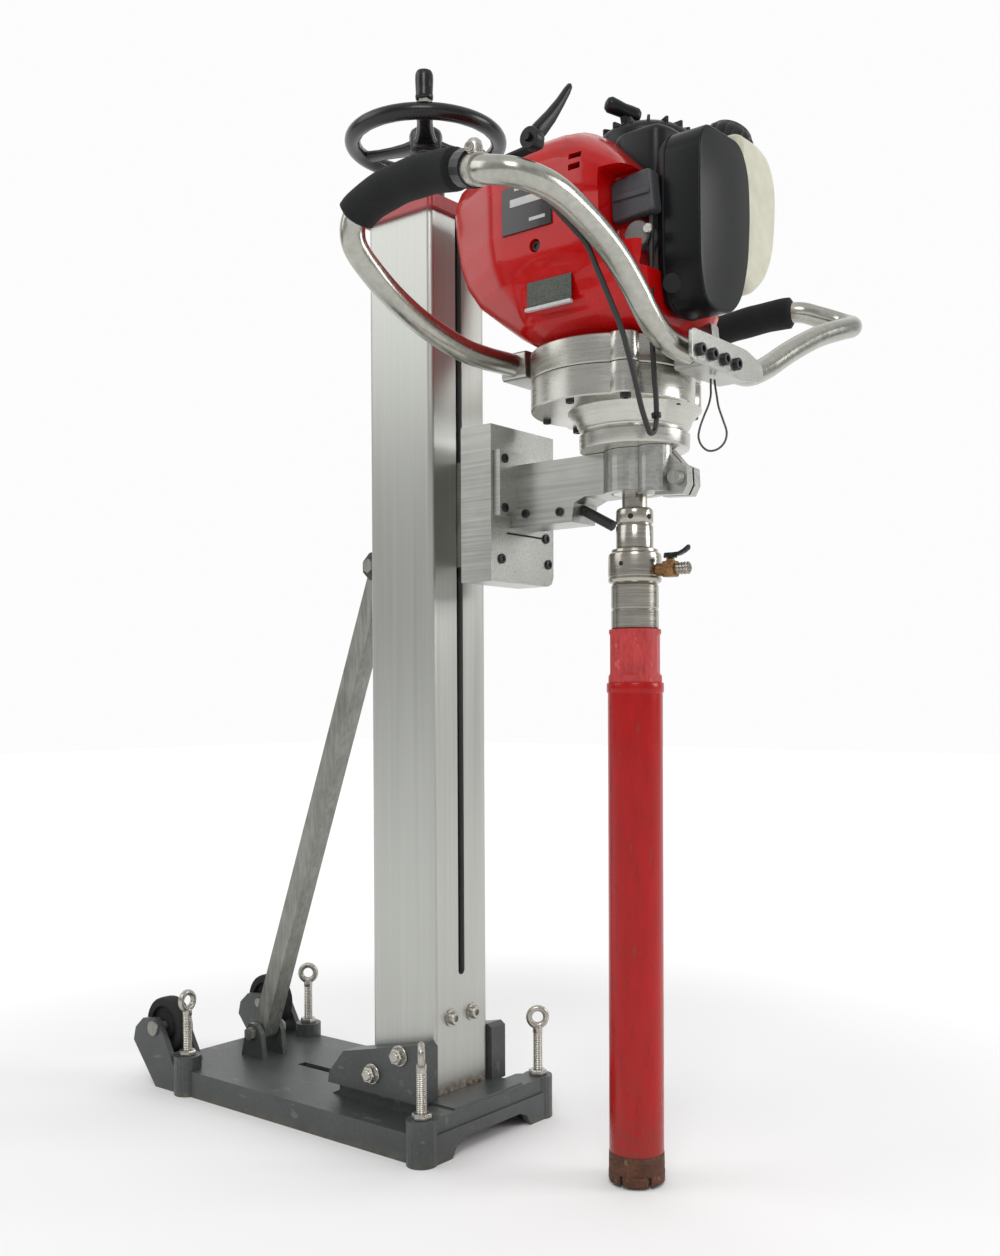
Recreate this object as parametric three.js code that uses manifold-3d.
// Engine-driven core drill on a slotted column stand, in millimetres, +Z up.
// The origin is on the underside of the base, below the column's centre line.
// The drill hangs on the -Y side of the column; +X and -X are its two handles.
import * as THREE from "three";
import { mergeVertices } from "three/addons/utils/BufferGeometryUtils.js";
import Module from "manifold-3d";

const wasm = await Module();
wasm.setup();

// Driving dimensions ---------------------------------------------------------
const gap = 0.3;               // between pieces that touch
const reach = 266;             // column centre line to drill axis

const column = { width: 88, depth: 90, wall: 6, foot: 48, top: 974, slot: 10, slotFoot: 175 };
const base = { half: 103, front: -88, rear: 352, deck: 30, skirt: 8, boss: 46 };
const cheek = { inner: 44.4, outer: 68, foot: 60 };
const levelling = { x: 96, front: -74, rear: 299, shank: 5.5, eye: 9.5, wire: 3.5, eyeZ: 110 };
const wheel = { x: 80, y: 354, z: 70, radius: 34, width: 20, axle: 6 };
const brace = { side: 22, footY: 272, footZ: 60, topY: 66, topZ: 612, pin: 5 };
const feed = { screw: 10, neck: 8, hubFoot: 1056.3, ring: 79, rim: 8.5, ringZ: 1066, knobAngle: 221 };
const carriage = { half: 52, back: 92, front: 131, foot: 582, top: 738 };
const spindle = { radius: 12, top: 768, foot: 545 };
const gearCase = { x: -16, y: 14, radius: 78, wall: 7, foot: 737, split: 766, top: 792 };
const gears = { size: 2, centres: 42, layX: -31.5, layY: 27.78, face: 10 };
const teeth = { crank: 12, layLarge: 30, laySmall: 14, output: 28 };
const bit = { radius: 26.3, wall: 2.5, top: 530.7, hexFoot: 480, collarFoot: 471, crownTop: 30.7, foot: 2 };
const bar = { radius: 11, spread: 262, frontY: -84, rearY: 114, frontZ: 772, rearZ: 793 };
const grip = { radius: 16.5, bore: 11.5 };
const cableRadius = 2.5;
const wireRadius = 1;

// Shape helpers --------------------------------------------------------------
function solid(geometry) {
  const plain = geometry.clone();
  plain.deleteAttribute("normal");
  plain.deleteAttribute("uv");
  const merged = mergeVertices(plain, 1e-4);
  const points = merged.attributes.position.array;
  const corners = [];
  for (let i = 0; i < merged.index.count; i += 3) {
    const [a, b, c] = [0, 1, 2].map((k) => merged.index.getX(i + k));
    if (a !== b && b !== c && c !== a) corners.push(a, b, c);
  }
  const made = new wasm.Manifold(new wasm.Mesh({
    numProp: 3,
    vertProperties: Float32Array.from(points),
    triVerts: Uint32Array.from(corners),
  }));
  if (made.volume() > 0) return made;
  for (let i = 0; i < corners.length; i += 3) corners.splice(i, 2, corners[i + 1], corners[i]);
  return new wasm.Manifold(new wasm.Mesh({
    numProp: 3,
    vertProperties: Float32Array.from(points),
    triVerts: Uint32Array.from(corners),
  }));
}

function geometryOf(body) {
  const mesh = body.getMesh();
  const geometry = new THREE.BufferGeometry();
  const step = mesh.numProp;
  const points = new Float32Array((mesh.vertProperties.length / step) * 3);
  for (let i = 0; i < points.length / 3; i += 1) {
    for (let k = 0; k < 3; k += 1) points[i * 3 + k] = mesh.vertProperties[i * step + k];
  }
  geometry.setAttribute("position", new THREE.BufferAttribute(points, 3));
  geometry.setIndex(new THREE.BufferAttribute(Uint32Array.from(mesh.triVerts), 1));
  return geometry;
}

function join(...bodies) {
  return bodies.reduce((sum, body) => sum.add(body));
}

function block(x0, x1, y0, y1, z0, z1) {
  const geometry = new THREE.BoxGeometry(x1 - x0, y1 - y0, z1 - z0);
  geometry.translate((x0 + x1) / 2, (y0 + y1) / 2, (z0 + z1) / 2);
  return solid(geometry);
}

// upright round bar between two heights
function post(radius, z0, z1, x = 0, y = 0, sides = 20) {
  const geometry = new THREE.CylinderGeometry(radius, radius, z1 - z0, sides);
  geometry.rotateX(Math.PI / 2);
  geometry.translate(x, y, (z0 + z1) / 2);
  return solid(geometry);
}

// round bar along X
function crossBar(radius, x0, x1, y, z, sides = 14) {
  const geometry = new THREE.CylinderGeometry(radius, radius, x1 - x0, sides);
  geometry.rotateZ(Math.PI / 2);
  geometry.translate((x0 + x1) / 2, y, z);
  return solid(geometry);
}

// round bar along Y
function depthBar(radius, y0, y1, x, z, sides = 14) {
  const geometry = new THREE.CylinderGeometry(radius, radius, y1 - y0, sides);
  geometry.translate(x, (y0 + y1) / 2, z);
  return solid(geometry);
}

// round bar between any two points
function barBetween(from, to, radius, sides = 16) {
  const line = new THREE.Vector3().subVectors(to, from);
  const geometry = new THREE.CylinderGeometry(radius, radius, line.length(), sides);
  const turn = new THREE.Quaternion().setFromUnitVectors(new THREE.Vector3(0, 1, 0), line.clone().normalize());
  geometry.applyQuaternion(turn);
  geometry.translate((from.x + to.x) / 2, (from.y + to.y) / 2, (from.z + to.z) / 2);
  return solid(geometry);
}

// body of revolution about an upright axis; profile is [radius, height] pairs
function turned(profile, x = 0, y = 0, sides = 24) {
  const geometry = new THREE.LatheGeometry(profile.map(([r, z]) => new THREE.Vector2(r, z)), sides);
  geometry.rotateX(Math.PI / 2);
  geometry.translate(x, y, 0);
  return solid(geometry);
}

function outline(points) {
  return new THREE.Shape(points.map(([u, v]) => new THREE.Vector2(u, v)));
}

function extruded(shape, length, curveSegments = 8) {
  return new THREE.ExtrudeGeometry(shape, { depth: length, bevelEnabled: false, curveSegments });
}

// outline in X and Y, raised from z0 to z1
function planBody(points, z0, z1) {
  const geometry = extruded(outline(points), z1 - z0);
  geometry.translate(0, 0, z0);
  return solid(geometry);
}

// outline in Y and Z, carried along X
function sideBody(points, x0, x1) {
  const geometry = extruded(outline(points), x1 - x0);
  geometry.rotateZ(Math.PI / 2);
  geometry.rotateY(Math.PI / 2);
  geometry.translate(x0, 0, 0);
  return solid(geometry);
}

// outline in X and Z, carried along Y
function frontBody(points, y0, y1) {
  const geometry = extruded(outline(points), y1 - y0);
  geometry.rotateX(Math.PI / 2);
  geometry.translate(0, y1, 0);
  return solid(geometry);
}

function roundedPlan(halfX, halfY, radius, z0, z1) {
  const shape = new THREE.Shape();
  shape.moveTo(halfX, -halfY + radius);
  shape.absarc(halfX - radius, halfY - radius, radius, 0, Math.PI / 2);
  shape.absarc(-halfX + radius, halfY - radius, radius, Math.PI / 2, Math.PI);
  shape.absarc(-halfX + radius, -halfY + radius, radius, Math.PI, Math.PI * 1.5);
  shape.absarc(halfX - radius, -halfY + radius, radius, Math.PI * 1.5, Math.PI * 2);
  const geometry = extruded(shape, z1 - z0, 5);
  geometry.translate(0, 0, z0);
  return solid(geometry);
}

function tubeAlong(path, radius, sides, steps) {
  const section = new THREE.Shape();
  for (let i = 0; i < sides; i += 1) {
    const angle = (i / sides) * Math.PI * 2;
    const point = [Math.cos(angle) * radius, Math.sin(angle) * radius];
    if (i === 0) section.moveTo(...point);
    else section.lineTo(...point);
  }
  section.closePath();
  return solid(new THREE.ExtrudeGeometry(section, { steps, bevelEnabled: false, extrudePath: path }));
}

function vectors(list) {
  return list.map(([x, y, z]) => new THREE.Vector3(x, y, z));
}

function mirrored(list) {
  return list.map(([x, y, z]) => [-x, y, z]);
}

// spur gear with straight-sided teeth; turn is the angle of its first tooth
function spurGear(count, z0, z1, turn) {
  const pitch = (count * gears.size) / 2;
  const tip = pitch + gears.size * 0.8;
  const root = pitch - gears.size * 1.15;
  const step = (Math.PI * 2) / count;
  const points = [];
  for (let i = 0; i < count; i += 1) {
    const middle = turn + i * step;
    for (const [radius, share] of [[root, -0.3], [tip, -0.12], [tip, 0.12], [root, 0.3]]) {
      const angle = middle + share * step;
      points.push([Math.cos(angle) * radius, Math.sin(angle) * radius]);
    }
  }
  return planBody(points, z0, z1);
}

// Materials ------------------------------------------------------------------
function finish(color, roughness, metalness) {
  return { color, roughness, metalness };
}

const finishes = {
  castGrey: finish(0x55595a, 0.6, 0.2),
  brushedAluminium: finish(0xb9bcb2, 0.35, 0.9),
  machinedAluminium: finish(0xc6c5b8, 0.28, 0.95),
  steel: finish(0x9a9a94, 0.35, 0.95),
  blackPlastic: finish(0x1b1c1d, 0.45, 0),
  blackSteel: finish(0x111213, 0.4, 0.4),
  redPaint: finish(0xb3161a, 0.4, 0.1),
  redPlastic: finish(0xc8161a, 0.25, 0),
  greyPlastic: finish(0x56585a, 0.5, 0),
  whitePlastic: finish(0xdcdccb, 0.4, 0),
  chrome: finish(0xc8cac4, 0.18, 1),
  foam: finish(0x202224, 0.9, 0),
  rubber: finish(0x161616, 0.85, 0),
  brass: finish(0xb07a3a, 0.35, 0.9),
  bronze: finish(0x9c7444, 0.45, 0.9),
  diamondMatrix: finish(0x5a3426, 0.8, 0.4),
  darkWire: finish(0x2a2826, 0.5, 0.6),
};

function part(group, name, body, look, place = [0, 0, 0]) {
  const mesh = new THREE.Mesh(geometryOf(body), new THREE.MeshStandardMaterial(finishes[look]));
  mesh.name = name;
  mesh.position.set(...place);
  group.add(mesh);
  return mesh;
}

const machine = new THREE.Group();

// Stand ----------------------------------------------------------------------
function levellingSpots() {
  return [
    ["front_left", -levelling.x, levelling.front, 40],
    ["front_right", levelling.x, levelling.front, -48],
    ["rear_left", -levelling.x, levelling.rear, 5],
    ["rear_right", levelling.x, levelling.rear, -52],
  ];
}

function basePlate() {
  const { half, front, rear, deck, skirt, boss } = base;
  const corner = 16;
  let body = planBody([
    [-half + 6, front], [half - 6, front], [half, front + 6], [half, rear],
    [-half, rear], [-half, front + 6],
  ], 0, deck);
  body = body.subtract(block(-half + skirt, half - skirt, front + skirt, rear - skirt, -1, deck - 8));
  body = body.add(block(-30, 30, -30, 30, 0, deck));
  body = body.add(sideBody([[-86, 29], [-86, 44], [-82, 47.7], [58, 47.7], [98, 29]], -56, 56));
  body = body.add(planBody([[-98, -86], [98, -86], [103, -74], [82, -54], [-82, -54], [-103, -74]], 29, boss));
  const cheekOutline = [
    [-50, 46], [-50, 104], [-44, 108], [66, 84], [88, 58], [90, 46],
  ];
  for (const side of [-1, 1]) {
    const inner = side * cheek.inner;
    const outer = side * cheek.outer;
    body = body.add(sideBody(cheekOutline, Math.min(inner, outer), Math.max(inner, outer)));
    const foot = side * cheek.foot;
    body = body.add(block(Math.min(inner, foot), Math.max(inner, foot), -50, 80, 29, 47));
    body = body.add(rearEar(side, 96, half));
    body = body.add(rearEar(side, 60, 66));
    body = body.add(sideBody(
      [[254, 29], [294, 29], [286, 60], [279, 71], [265, 71], [258, 60]],
      Math.min(side * 12.5, side * 19.5), Math.max(side * 12.5, side * 19.5),
    ));
  }
  for (const [, x, y] of levellingSpots()) body = body.add(post(corner, 0, boss, x, y));
  for (const [, x, y] of levellingSpots()) body = body.subtract(post(levelling.shank + 0.4, -1, 60, x, y));
  body = body.subtract(frontBody([[-66, -1], [-58, 12], [-46, 17], [46, 17], [58, 12], [66, -1]], front - 20, -70));
  body = body.subtract(planBody([[-6, 152], [6, 152], [6, 208], [-6, 208]], 10, 60));
  for (const [y, z] of cheekBolts()) body = body.subtract(crossBar(6.4, -90, 90, y, z));
  body = body.subtract(crossBar(wheel.axle + 0.4, -120, 120, wheel.y, wheel.z));
  body = body.subtract(crossBar(brace.pin + 0.4, -30, 30, brace.footY, brace.footZ));
  return body;
}

function rearEar(side, from, to) {
  const ear = [
    [300, 18], [350, 0], [352, 0], [395, 50], [391, 66], [376, 79], [352, 82], [338, 66], [316, 29],
  ];
  return sideBody(ear, Math.min(side * from, side * to), Math.max(side * from, side * to));
}

function cheekBolts() {
  return [[-18, 93], [22, 67]];
}

function columnBody() {
  const { width, depth, wall, foot, top, slot, slotFoot } = column;
  let body = roundedPlan(width / 2, depth / 2, 6, foot, top);
  body = body.subtract(roundedPlan(width / 2 - wall, depth / 2 - wall, 2, foot - 1, top + 1));
  body = body.subtract(block(-slot / 2, slot / 2, -60, -30, slotFoot, top + 1));
  body = body.subtract(depthBar(slot / 2, -60, -30, 0, slotFoot));
  for (const [y, z] of cheekBolts()) body = body.subtract(crossBar(6.4, -60, 60, y, z));
  for (const x of [-17, 17]) body = body.subtract(depthBar(4.4, -60, -30, x, 127));
  return body;
}

function eyeScrew(turn) {
  const { shank, eye, wire, eyeZ } = levelling;
  const ring = new THREE.TorusGeometry(eye, wire, 6, 16);
  ring.rotateX(Math.PI / 2);
  ring.translate(0, 0, eyeZ);
  const body = join(solid(ring), post(shank, 2, eyeZ - eye, 0, 0, 16));
  const geometry = geometryOf(body);
  geometry.rotateZ(THREE.MathUtils.degToRad(turn));
  return solid(geometry);
}

function hexBolt(y, z) {
  const outer = cheek.outer;
  return join(
    crossBar(6, -outer - 2, outer + 2, y, z),
    crossBar(9.5, -outer - 9, -outer - gap, y, z, 6),
    crossBar(9.5, outer + gap, outer + 9, y, z, 6),
  );
}

function transportWheel() {
  const { radius, width, axle } = wheel;
  const half = width / 2;
  const profile = [
    [axle + 0.4, -half + 2], [14, -half + 2], [16, -half + 5], [radius - 9, -half + 5], [radius - 7, -half + 1],
    [radius - 2, -half], [radius, -half + 3], [radius, half - 3], [radius - 2, half], [radius - 7, half - 1],
    [radius - 9, half - 5], [16, half - 5], [14, half - 2], [axle + 0.4, half - 2], [axle + 0.4, -half + 2],
  ];
  const geometry = geometryOf(turned(profile, 0, 0, 20));
  geometry.rotateY(Math.PI / 2);
  return solid(geometry);
}

function braceStrut() {
  const { side, footY, footZ, topY, topZ, pin } = brace;
  const half = side / 2;
  const length = Math.hypot(topY - footY, topZ - footZ);
  const lean = Math.atan2(footY - topY, topZ - footZ);
  let bodyShape = join(
    block(-half, half, -half, half, 0, length),
    crossBar(half, -half, half, 0, 0, 24),
    crossBar(half, -half, half, 0, length, 24),
  );
  bodyShape = bodyShape.subtract(crossBar(pin + 0.4, -20, 20, 0, 0));
  bodyShape = bodyShape.subtract(crossBar(pin + 0.4, -20, 20, 0, length));
  return { body: bodyShape, lean };
}

function braceClevis() {
  const face = column.depth / 2 + gap;
  let body = block(-22, 22, face, 53, 590, 634);
  for (const side of [-1, 1]) {
    const ends = [side * 12.5, side * 19.5].sort((a, b) => a - b);
    body = body.add(sideBody([[52, 594], [70, 597], [80, 606], [80, 618], [70, 627], [52, 630]], ...ends));
  }
  return body.subtract(crossBar(brace.pin + 0.4, -30, 30, brace.topY, brace.topZ));
}

function bracePin(y, z) {
  return join(
    crossBar(brace.pin, -24, 24, y, z),
    crossBar(8, -27, -20, y, z, 6),
    crossBar(8, 20, 27, y, z, 6),
  );
}

function buildStand() {
  const stand = new THREE.Group();
  part(stand, "base_plate", basePlate(), "castGrey");
  part(stand, "column", columnBody(), "brushedAluminium");
  const footBlock = roundedPlan(37.5, 38.5, 3, 112, 142).subtract(post(feed.screw + 0.5, 119, 150));
  part(stand, "screw_foot_block", footBlock.subtract(depthBar(4.4, -45, -20, -17, 127))
    .subtract(depthBar(4.4, -45, -20, 17, 127)), "steel");
  for (const [name, x] of [["foot_screw_left", -17], ["foot_screw_right", 17]]) {
    const face = -column.depth / 2 - gap;
    const screw = depthBar(4, -24, face, x, 127).add(depthBar(8, face - 7, face, x, 127));
    part(stand, name, screw, "steel");
  }
  cheekBolts().forEach(([y, z], i) => {
    part(stand, ["cheek_bolt_front", "cheek_bolt_rear"][i], hexBolt(y, z), "steel");
  });
  for (const [name, x, y, turn] of levellingSpots()) {
    part(stand, `levelling_screw_${name}`, eyeScrew(turn), "steel", [x, y, 0]);
  }
  for (const [name, side] of [["left", -1], ["right", 1]]) {
    part(stand, `wheel_${name}`, transportWheel(), "rubber", [side * wheel.x, wheel.y, wheel.z]);
    const head = side * 103.3;
    const axle = crossBar(wheel.axle, Math.min(side * 58, head), Math.max(side * 58, head), wheel.y, wheel.z)
      .add(crossBar(9, Math.min(head, head + side * 3), Math.max(head, head + side * 3), wheel.y, wheel.z));
    part(stand, `wheel_axle_${name}`, axle, "steel");
  }
  const strut = braceStrut();
  const strutMesh = part(stand, "brace_strut", strut.body, "steel", [0, brace.footY, brace.footZ]);
  strutMesh.rotation.x = strut.lean;
  part(stand, "brace_clevis", braceClevis(), "castGrey");
  part(stand, "brace_pin_foot", bracePin(brace.footY, brace.footZ), "steel");
  part(stand, "brace_pin_top", bracePin(brace.topY, brace.topZ), "steel");
  const bore = feed.screw + 0.6;
  const plateTop = column.top + 14;
  const topPlate = roundedPlan(50, 51, 6, column.top + gap, plateTop).subtract(post(bore, column.top - 5, plateTop + 5));
  part(stand, "top_plate", topPlate, "redPaint");
  const housing = turned([
    [bore, plateTop + gap], [30, plateTop + gap], [30, plateTop + 8], [20, plateTop + 14],
    [20, 1050], [bore, 1050], [bore, plateTop + gap],
  ]);
  part(stand, "bearing_housing", housing, "blackSteel");
  return stand;
}

// Feed screw and handwheel ---------------------------------------------------
function knobPlace() {
  const angle = THREE.MathUtils.degToRad(feed.knobAngle);
  return [Math.cos(angle) * feed.ring, Math.sin(angle) * feed.ring];
}

function handwheel() {
  const { ring, rim, ringZ, hubFoot, neck, knobAngle } = feed;
  const rimShape = new THREE.TorusGeometry(ring, rim, 8, 40);
  rimShape.translate(0, 0, ringZ);
  let body = solid(rimShape);
  for (let i = 0; i < 3; i += 1) {
    const spoke = new THREE.BoxGeometry(ring - 12, 15, 8);
    spoke.translate(12 + (ring - 12) / 2, 0, ringZ);
    spoke.rotateZ(THREE.MathUtils.degToRad(knobAngle + i * 120));
    body = body.add(solid(spoke));
  }
  body = body.add(post(18, hubFoot, 1082, 0, 0, 32));
  body = body.subtract(post(neck + gap, hubFoot - 1, 1078));
  const [x, y] = knobPlace();
  return body.add(post(4.5, ringZ, 1104, x, y, 16));
}

function buildFeed() {
  const group = new THREE.Group();
  const { screw, neck, hubFoot } = feed;
  part(group, "leadscrew", join(post(screw, 120, hubFoot - gap), post(neck, 1040, 1077)), "steel");
  part(group, "handwheel", handwheel(), "blackPlastic");
  const [x, y] = knobPlace();
  const knob = turned([
    [5, 1076.5], [8, 1076.5], [9.5, 1080], [9.5, 1103], [7.5, 1106], [5, 1106], [5, 1076.5],
  ], x, y, 24);
  part(group, "crank_knob", knob, "blackPlastic");
  return group;
}

// Carriage and arm: from here on y = 0 is the drill axis ------------------------
function carriageBody() {
  const { half, back, front, foot, top } = carriage;
  let body = frontBody([
    [-half, foot], [half - 10, foot], [half - 3, foot + 3], [half, foot + 10], [half, top], [-half, top],
  ], reach - front, reach - back);
  body = body.subtract(depthBar(4.5, reach - front - 1, reach - front + 6, -36, 605));
  body = body.subtract(depthBar(4.5, reach - front - 1, reach - front + 6, 42, 605));
  body = body.subtract(block(-26, 36, reach - front - 1, reach - front + 2, 630.5, 632.5));
  return body.subtract(depthBar(4.5, reach - front - 1, reach - front + 6, 38, 631.5));
}

function slideBlock() {
  const inside = block(-34, 34, reach - 22, reach + 36, 605, 715);
  const web = block(-4, 4, reach - carriage.back + gap, reach - 20, 605, 715);
  return inside.add(web).subtract(post(16.3, 600, 720, 0, reach));
}

function drillArm() {
  const root = reach - carriage.front - gap;
  let body = block(-20, 20, -32, root, 660, 699.5);
  body = body.add(block(-48, 48, root - 8, root, 647, 712));
  body = body.add(sideBody([[root, 637], [root, 662], [40, 662], [57, 655], [60, 637]], -20, 20));
  body = body.add(post(30, 660, 699.5, 0, 0, 32));
  body = body.add(sideBody([[-30, 655], [-60, 653], [-65, 662], [-64, 678], [-52, 684], [-38, 699.5], [-30, 699.5]],
    -12, 12));
  body = body.add(post(16, 657, 718, -12, -30, 24).subtract(post(66, 699.5, 730, 0, 0, 48)));
  body = body.subtract(post(22, 640, 730, 0, 0, 32));
  body = body.subtract(block(-1.5, 1.5, -70, 0, 640, 730));
  return body.subtract(crossBar(4.4, -40, 40, -56, 668));
}

function buildCarriage() {
  const group = new THREE.Group();
  part(group, "carriage_plate", carriageBody(), "machinedAluminium");
  part(group, "slide_block", slideBlock(), "steel");
  const nut = post(16, 620, 700, 0, reach).subtract(post(feed.screw + 0.4, 610, 710, 0, reach));
  part(group, "lead_nut", nut, "bronze");
  part(group, "drill_arm", drillArm(), "brushedAluminium");
  const clampScrew = join(
    crossBar(4, -22, 14, -56, 668),
    crossBar(6.5, -22, -12.4, -56, 668),
  );
  part(group, "clamp_screw", clampScrew, "steel");
  const rod = barBetween(new THREE.Vector3(-3, 58, 650), new THREE.Vector3(-3, 23, 631.3), 5.2);
  part(group, "stop_rod", rod.subtract(sideBody([[90, 636.7], [90, 700], [39.7, 700], [39.7, 661.7], [56.7, 654.7],
    [59.7, 636.7]], -20, 20)), "blackSteel");
  return group;
}

// Gear case, shafts and spindle ------------------------------------------------
function caseCavity(z0, z1) {
  return post(gearCase.radius - gearCase.wall, z0, z1, gearCase.x, gearCase.y, 32);
}

// round case with its four screw bosses
function caseOutline(z0, z1, spare = 0) {
  const { x, y, radius } = gearCase;
  let body = post(radius + spare, z0, z1, x, y, 36);
  for (const angle of [60, 222, 318]) {
    const turn = THREE.MathUtils.degToRad(angle);
    body = body.add(post(9 + spare, z0, z1, x + Math.cos(turn) * radius, y + Math.sin(turn) * radius, 12));
  }
  return body;
}

function upperCase() {
  const { split, top } = gearCase;
  let body = caseOutline(split, top);
  body = body.subtract(caseCavity(split - 1, top - 4));
  body = body.subtract(post(9, top - 10, top + 1));
  return body.subtract(post(6.4, top - 5, top - 1.5, gears.layX, gears.layY, 16));
}

function lowerCase() {
  const { foot, split } = gearCase;
  let body = caseOutline(foot, split - gap);
  body = body.add(turned([
    [0, 660], [21.6, 660], [21.6, 700], [52, 700], [53, 716], [51.5, 717], [51.5, 719], [54, 721],
    [57, 729], [64, 738], [0, 738],
  ], 0, 0, 28));
  body = body.subtract(caseCavity(foot + 5, split + 1));
  body = body.subtract(post(spindle.radius + 0.4, 650, split + 1));
  return body.subtract(post(6.4, foot + 2.5, foot + 6, gears.layX, gears.layY, 16));
}

// the gears stand with a tooth of one in a gap of the next
function gearTrain() {
  const towardLay = Math.atan2(gears.layY, gears.layX);
  const crankGear = spurGear(teeth.crank, 776, 776 + gears.face, towardLay);
  const gapTurn = Math.PI + Math.PI / teeth.layLarge;
  const layLarge = spurGear(teeth.layLarge, 776, 776 + gears.face, towardLay + gapTurn);
  const laySmall = spurGear(teeth.laySmall, 748, 762, towardLay + Math.PI);
  const outputGear = spurGear(teeth.output, 748, 762, towardLay + Math.PI / teeth.output);
  return { crankGear, layLarge, laySmall, outputGear };
}

function swivelBody() {
  const bore = spindle.radius + 0.4;
  return turned([
    [bore, 607.3], [17.8, 607.3], [17.8, 629], [17, 630], [17, 631.5], [17.8, 632.5], [17.8, 644],
    [16, 646], [bore, 646], [bore, 607.3],
  ]);
}

function swivelRing() {
  const bore = spindle.radius + 0.4;
  return turned([
    [bore, 573.3], [23.5, 573.3], [25.5, 576], [25.5, 602], [23, 607], [bore, 607], [bore, 573.3],
  ]);
}

function coreBit() {
  const { radius, wall, top, hexFoot, collarFoot, crownTop } = bit;
  const hex = post(25, hexFoot - 1, top, 0, 0, 6);
  const tube = turned([
    [radius - wall, crownTop], [radius, crownTop], [radius, collarFoot], [27.3, collarFoot + 1],
    [27.3, hexFoot - 1], [26, hexFoot], [0, hexFoot], [0, collarFoot - 6], [radius - wall, collarFoot - 6],
    [radius - wall, crownTop],
  ]);
  return tube.add(hex);
}

function bitCrown() {
  const { radius, foot, crownTop } = bit;
  let crown = post(radius + 0.5, foot, crownTop - gap, 0, 0, 24).subtract(post(radius - 3, 0, crownTop + 1, 0, 0, 24));
  for (let i = 0; i < 3; i += 1) {
    const slot = new THREE.BoxGeometry(80, 4, 10);
    slot.translate(0, 0, foot + 3);
    slot.rotateZ((i * Math.PI) / 3);
    crown = crown.subtract(solid(slot));
  }
  return crown;
}

function buildDrive() {
  const group = new THREE.Group();
  const { crankGear, layLarge, laySmall, outputGear } = gearTrain();
  part(group, "gear_case_upper", upperCase(), "machinedAluminium");
  part(group, "gear_case_lower", lowerCase(), "machinedAluminium");
  const crank = join(crankGear, post(8, 771, 972), post(42, 949, 961, 0, 0, 24), post(22, 961, 972));
  part(group, "crankshaft", crank, "steel");
  const cluster = join(layLarge, laySmall, post(6, 740, 790, 0, 0, 16));
  part(group, "layshaft", cluster, "steel", [gears.layX, gears.layY, 0]);
  part(group, "output_spindle", outputGear.add(post(spindle.radius, spindle.foot, spindle.top)), "steel");
  part(group, "swivel_body", swivelBody(), "machinedAluminium");
  part(group, "swivel_ring", swivelRing(), "machinedAluminium");
  const tap = join(
    depthBar(6, -34, -25.8, 0, 586),
    depthBar(8, -46, -33, 0, 586, 6),
    depthBar(5.5, -60, -45, 0, 586),
    post(4, 586, 596, 0, -39.5, 16),
  );
  part(group, "tap_body", tap, "brass");
  const lever = join(post(6, 596.4, 601, 0, 0, 16), block(-4, 4, -20, 0, 597.5, 601), block(-4, 4, -20, -13, 597.5, 607));
  part(group, "tap_lever", lever, "blackPlastic", [0, -39.5, 0]);
  const adapter = post(22.8, 531, 573, 0, 0, 32).subtract(post(spindle.radius + gap, 543, 580));
  part(group, "bit_adapter", adapter, "steel");
  part(group, "core_bit", coreBit(), "redPaint");
  part(group, "bit_crown", bitCrown(), "diamondMatrix");
  return group;
}

// Engine -----------------------------------------------------------------------
function shroudBody(shrink) {
  const side = [
    [186, 965], [184, 927], [174, 894], [147, 851], [114, 827], [80, 797], [66, 792.4], [-58, 792.4],
    [-66, 800], [-44, 850], [-29, 880], [-29, 928], [-62, 928], [-68, 934], [-62, 948], [-38, 977],
    [10, 991], [81, 990], [150, 979], [178, 971],
  ];
  const front = [
    [-66, 792], [-98, 900], [-106, 945], [-101, 970], [-84, 979], [-56, 990], [40, 991], [76, 976],
    [84, 940], [84, 820], [60, 792],
  ];
  const plan = [
    [-107, 84], [-70, 172], [-48, 187], [34, 187], [70, 165], [84, 120], [84, 66], [22, 66], [22, -70], [-107, -70],
  ];
  const body = sideBody(side, -110, 90).intersect(frontBody(front, -80, 195)).intersect(planBody(plan, 780, 1010));
  return body.translate([0, -50, -880]).scale([shrink, shrink, shrink]).translate([0, 50, 880]);
}

function shroud() {
  let body = shroudBody(1);
  body = body.subtract(shroudBody(0.94));
  body = body.subtract(block(-46, 16, -40, 66, 780, 802));
  body = body.subtract(block(-96, 21, -62, -24, 800, 926));
  body = body.subtract(post(44, 946, 975)).subtract(frontWedge(0));
  return body.subtract(post(23, 970, 1010, 0, 0, 24));
}

function crankcase() {
  let body = planBody([[-44, -38], [14, -38], [14, 40], [-44, 40]], 792.4, 940);
  body = body.add(block(-62, 20, -66, -31, 812, 924));
  body = body.add(block(-26, 14, 38, 138, 864, 925));
  for (let i = 0; i < 5; i += 1) body = body.add(block(-36, 18, 52 + i * 17, 57 + i * 17, 862, 930));
  return body.subtract(post(9, 780, 950));
}

function sideCover() {
  const face = [
    [-58, 812], [-68, 840], [-70, 900], [-70, 957], [-62, 967], [6, 967], [17, 946], [21, 905], [18, 860],
    [6, 822], [-14, 807], [-36, 805],
  ];
  const plan = [[-72, -69.5], [-72, -96], [-58, -112], [4, -112], [24, -100], [24, -69.5]];
  return frontBody(face, -120, -60).intersect(planBody(plan, 790, 990));
}

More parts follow.
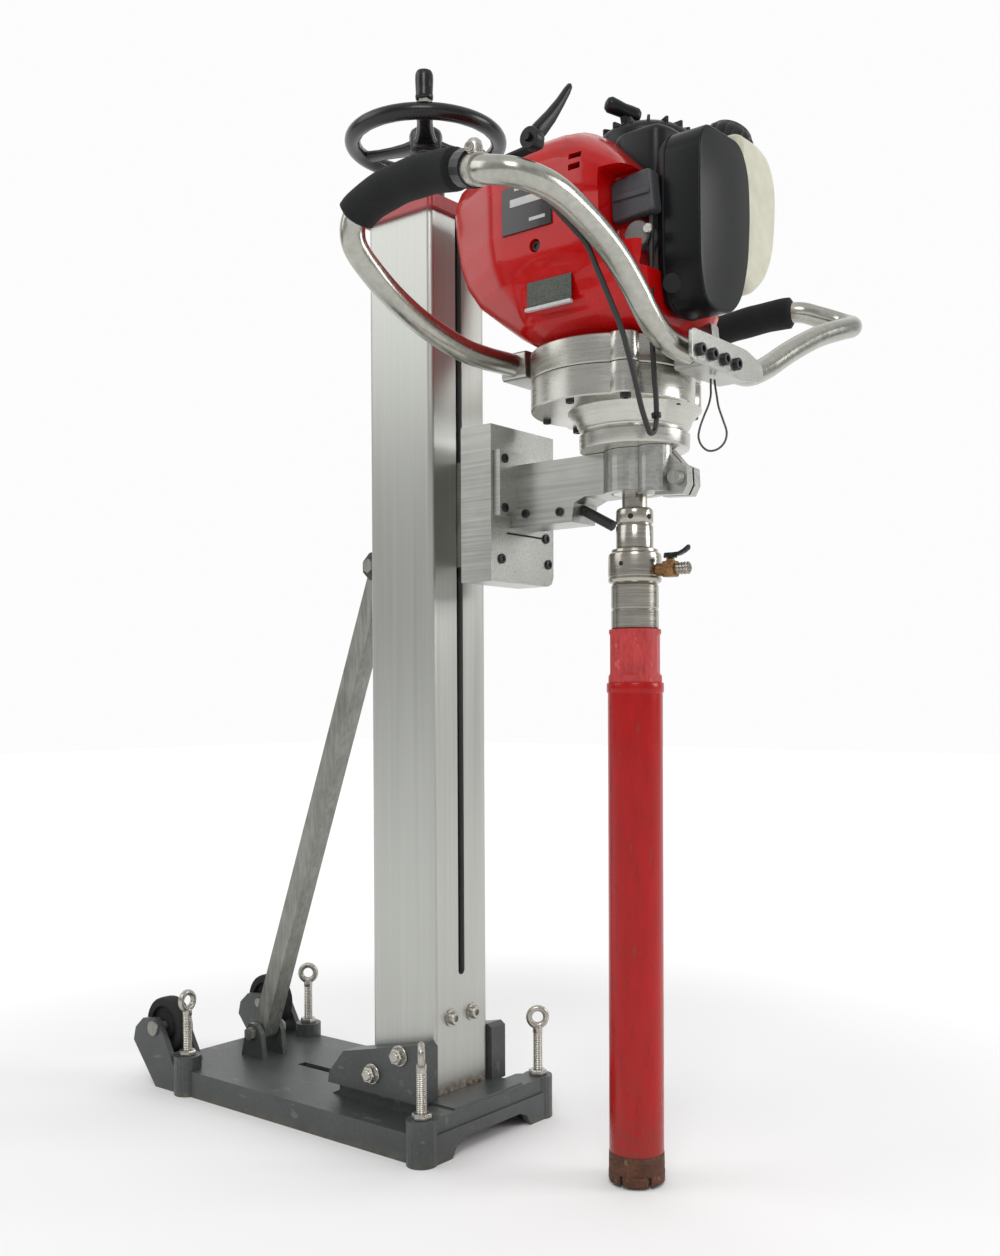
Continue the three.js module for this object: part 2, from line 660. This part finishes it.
function fuelTank() {
  const face = [
    [25, 848], [50, 841], [78, 862], [95, 895], [101, 930], [98, 960], [84, 984], [64, 990], [25, 990],
  ];
  const plan = [[25, -98], [80, -98], [100, -84], [104, -60], [104, 40], [90, 60], [25, 60]];
  return frontBody(face, -110, 70).intersect(planBody(plan, 830, 1000)).subtract(post(45, 946, 1001))
    .subtract(post(46.6, 973, 1001, 6, -10));
}

const capAxis = new THREE.Vector3(0.42, -0.18, 0.89).normalize();
const capFoot = new THREE.Vector3(51, -63, 974);

function fuelCap() {
  const end = capFoot.clone().addScaledVector(capAxis, 30);
  const body = barBetween(capFoot, end, 27, 16);
  return body.add(barBetween(end.clone().addScaledVector(capAxis, -1), end.clone().addScaledVector(capAxis, 6), 22, 16));
}

const pullAxis = new THREE.Vector3(-0.42, 0.1, 0.9).normalize();
const pullFoot = new THREE.Vector3(-15, -4, 1002.5);

function recoilGrip() {
  const end = pullFoot.clone().addScaledVector(pullAxis, 16);
  const across = new THREE.Vector3(0.8, -0.55, 0.43).normalize();
  return join(
    barBetween(pullFoot.clone().addScaledVector(pullAxis, -19), end, 2.4, 8),
    barBetween(pullFoot.clone().addScaledVector(pullAxis, 5), end, 5, 12),
    barBetween(end.clone().addScaledVector(across, -17), end.clone().addScaledVector(across, 17), 7.5, 12),
  );
}

// slope of the shroud's front arm, with the starter's housing above it
function frontWedge(lift) {
  return sideBody([[-2, 991.4 + lift], [-82, 936 + lift], [-82, 1030], [-2, 1030]], -120, 100);
}

function recoilHousing() {
  const dome = turned([
    [0, 974], [44, 974], [46, 976], [46, 992], [42, 997], [32, 1002], [16, 1004], [0, 1004],
  ], 6, -10, 28);
  const skirt = planBody([[-40, -2.5], [-58, -20], [-58, -62], [-40, -68], [22, -68], [24, -62], [24, -2.5]], 930, 979);
  const above = block(-200, 200, -200, 200, 991.4, 1030).add(frontWedge(gap));
  const capRoom = barBetween(capFoot.clone().addScaledVector(capAxis, -gap), capFoot.clone().addScaledVector(capAxis, 60), 28, 16);
  return dome.add(skirt).intersect(above).subtract(post(44, 946, 975)).subtract(post(24, 960, 984)).subtract(capRoom);
}

function buildEngine() {
  const group = new THREE.Group();
  part(group, "crankcase", crankcase(), "greyPlastic");
  part(group, "engine_shroud", shroud(), "redPlastic");
  part(group, "side_cover", sideCover(), "blackPlastic");
  part(group, "fuel_tank", fuelTank().subtract(barBetween(capFoot.clone().addScaledVector(capAxis, -gap),
    capFoot.clone().addScaledVector(capAxis, 60), 28, 16)), "whitePlastic");
  part(group, "fuel_cap", fuelCap(), "blackPlastic");
  const dome = recoilHousing();
  const socket = barBetween(
    pullFoot.clone().addScaledVector(pullAxis, -30), pullFoot.clone().addScaledVector(pullAxis, 20), 3.2, 8,
  );
  part(group, "recoil_housing", dome.subtract(socket), "blackPlastic");
  part(group, "recoil_grip", recoilGrip(), "blackPlastic");
  const carburettor = block(-84, -70.4, -76, -31, 888, 925.5).add(block(-72, -62.4, -62, -33, 896, 922));
  part(group, "carburettor", carburettor, "greyPlastic");
  return group;
}

// Handlebars -------------------------------------------------------------------
// rear legs of the tubes, from the grip round and in to the rear bracket
const leftRear = [
  [-262, -6, 885.5], [-262, 31, 890.4], [-262, 68, 889.5], [-262, 98, 882.5], [-261.5, 113, 873], [-257, 118, 856],
  [-233, 116, 833], [-185, 116, 810], [-121, 115, 794], [-84, 114.5, 792], [-50, 114, 793], [-4, 114, 793],
];
const rightRear = [
  [262, -40, 886], [262, 101, 874.5], [261, 115, 866.5], [255, 120, 852], [232, 117, 842], [194, 116, 826],
  [139, 116, 811], [84, 114.5, 797], [50, 114, 793], [4, 114, 793],
];
const leftGrip = [
  [-262, -5, 885.7], [-262, 31, 890.4], [-262, 68, 889.5], [-262, 96, 883.2], [-262, 105, 879.1],
];
const rightGrip = [[262, -38, 885.9], [262, 30, 880.3], [262, 98, 874.9]];

function leftBarPoints() {
  return [
    [-4, -84, 772], [-46, -84, 772], [-70, -84, 773.5], [-95, -85, 780], [-114, -86, 791], [-135, -86, 809],
    [-165, -86, 829], [-210, -86, 847], [-250, -85, 856], [-278, -74, 860], [-284, -52, 866], [-274, -27, 876],
    ...leftRear,
  ];
}

// the right tube reaches a little further forward than the left
function rightBarPoints() {
  return [
    [4, -84, 772], [46, -84, 772], [70, -84, 774], [100, -85, 785], [150, -89, 812], [205, -94, 838],
    [250, -99, 854], [280, -97, 864], [289, -82, 872], [277, -60, 881], ...rightRear,
  ];
}

function barPath(points) {
  return new THREE.CatmullRomCurve3(vectors(points));
}

function handleGrip(along, points) {
  const body = tubeAlong(barPath(along), grip.radius, 16, 14);
  return body.subtract(tubeAlong(barPath(points), grip.bore, 10, 44));
}

function clampBlock(frontSide, y, z) {
  let body = block(-42, 42, y - 15, y + 15, z - 13.5, z + 13.5);
  const edge = frontSide ? [y + 14, -62] : [88, y - 14];
  body = body.add(block(-20, 20, edge[0], edge[1], z - 12, z - 1));
  body = body.subtract(crossBar(bar.radius + 1.2, -70, 70, y, z, 24));
  return body.subtract(caseOutline(700, 793, gap));
}

const leverPivot = new THREE.Vector3(-bar.spread, -78, 889);
const leverTip = new THREE.Vector3(-228, -90, 938);

function buildHandles() {
  const group = new THREE.Group();
  const { radius } = bar;
  part(group, "handlebar_left", tubeAlong(barPath(leftBarPoints()), radius, 10, 44), "chrome");
  part(group, "handlebar_right", tubeAlong(barPath(rightBarPoints()), radius, 10, 44), "chrome");
  part(group, "grip_left", handleGrip(leftGrip, leftBarPoints()), "foam");
  part(group, "grip_right", handleGrip(rightGrip, rightBarPoints()), "foam");
  part(group, "bracket_front", clampBlock(true, bar.frontY, bar.frontZ), "machinedAluminium");
  part(group, "bracket_rear", clampBlock(false, bar.rearY, bar.rearZ), "machinedAluminium");
  return group;
}

const throttleRoute = [
  [-253, -57, 865.6], [-246, -63, 861.5], [-236, -68, 858], [-215, -70, 848], [-195, -70, 841], [-179, -70, 834],
  [-164, -69, 820], [-145, -69, 799], [-126.5, -69, 777], [-114, -68, 758], [-103, -67, 740], [-90, -65, 719],
  [-80, -64, 706], [-72, -63, 699], [-65, -63, 702], [-62, -63, 712], [-64, -64, 730], [-68, -65, 746],
  [-72, -66, 768], [-76, -67, 789], [-78, -68, 822], [-78, -68, 850], [-77, -68, 875], [-77, -68, 887.5],
];

const wireRoute = [
  [-2, -84, 756.5], [-2, -84, 749], [-2, -84, 742], [-4, -83, 733], [-9, -81, 722], [-13, -79, 711],
  [-14, -78, 702], [-10, -79, 695], [-3, -82, 691], [5, -87, 693], [11, -91, 700], [13, -92, 709],
  [9, -90, 721], [5, -88, 732], [3.5, -87, 742], [3, -86, 749], [3, -85, 756.5],
];

function buildCables() {
  const group = new THREE.Group();
  const throttle = new THREE.CatmullRomCurve3(vectors(throttleRoute));
  part(group, "throttle_cable", tubeAlong(throttle, cableRadius, 8, 44), "rubber");
  const wire = new THREE.CatmullRomCurve3(vectors(wireRoute));
  part(group, "hanging_wire", tubeAlong(wire, wireRadius, 8, 30), "darkWire");
  return group;
}

function throttleLever() {
  const away = new THREE.Vector3().subVectors(leverTip, leverPivot);
  const geometry = new THREE.CylinderGeometry(2.4, 6.4, away.length(), 10);
  geometry.translate(0, away.length() / 2, 0);
  const turn = new THREE.Quaternion().setFromUnitVectors(new THREE.Vector3(0, 1, 0), away.clone().normalize());
  geometry.applyQuaternion(turn);
  return solid(geometry).intersect(block(-4.8, 80, -60, 60, -6, 80)).add(crossBar(8, -5, 5, 0, 0, 20))
    .subtract(crossBar(3.4, -10, 60, 0, 0, 16))
    .subtract(block(5.4, 80, -60, 60, -12, 7));
}

function leverMount() {
  const start = new THREE.Vector3(-269, -18, 880.5);
  const end = new THREE.Vector3(-277, -34, 874);
  const middle = start.clone().lerp(end, 0.6);
  const side = leverPivot.clone().add(new THREE.Vector3(11.5, 0, 0));
  let body = barBetween(start, end, 15, 16);
  body = body.add(barBetween(middle.clone().add(new THREE.Vector3(8, 0, -6)), new THREE.Vector3(-253, -56, 872), 4.5, 8));
  body = body.add(barBetween(middle.clone().add(new THREE.Vector3(16, -4, 5)), side, 3.6, 8));
  body = body.add(crossBar(3, leverPivot.x - 8, leverPivot.x + 11.5, leverPivot.y, leverPivot.z, 12));
  return body.subtract(tubeAlong(barPath(leftBarPoints()), bar.radius + gap, 10, 44));
}

// Put together -----------------------------------------------------------------
machine.add(buildStand());
machine.add(buildFeed());
const head = new THREE.Group();
head.position.y = -reach;
head.add(buildCarriage(), buildDrive(), buildEngine(), buildHandles(), buildCables());
part(head, "throttle_lever", throttleLever(), "blackPlastic", leverPivot.toArray());
part(head, "lever_mount", leverMount(), "blackPlastic");
machine.add(head);

export default machine;
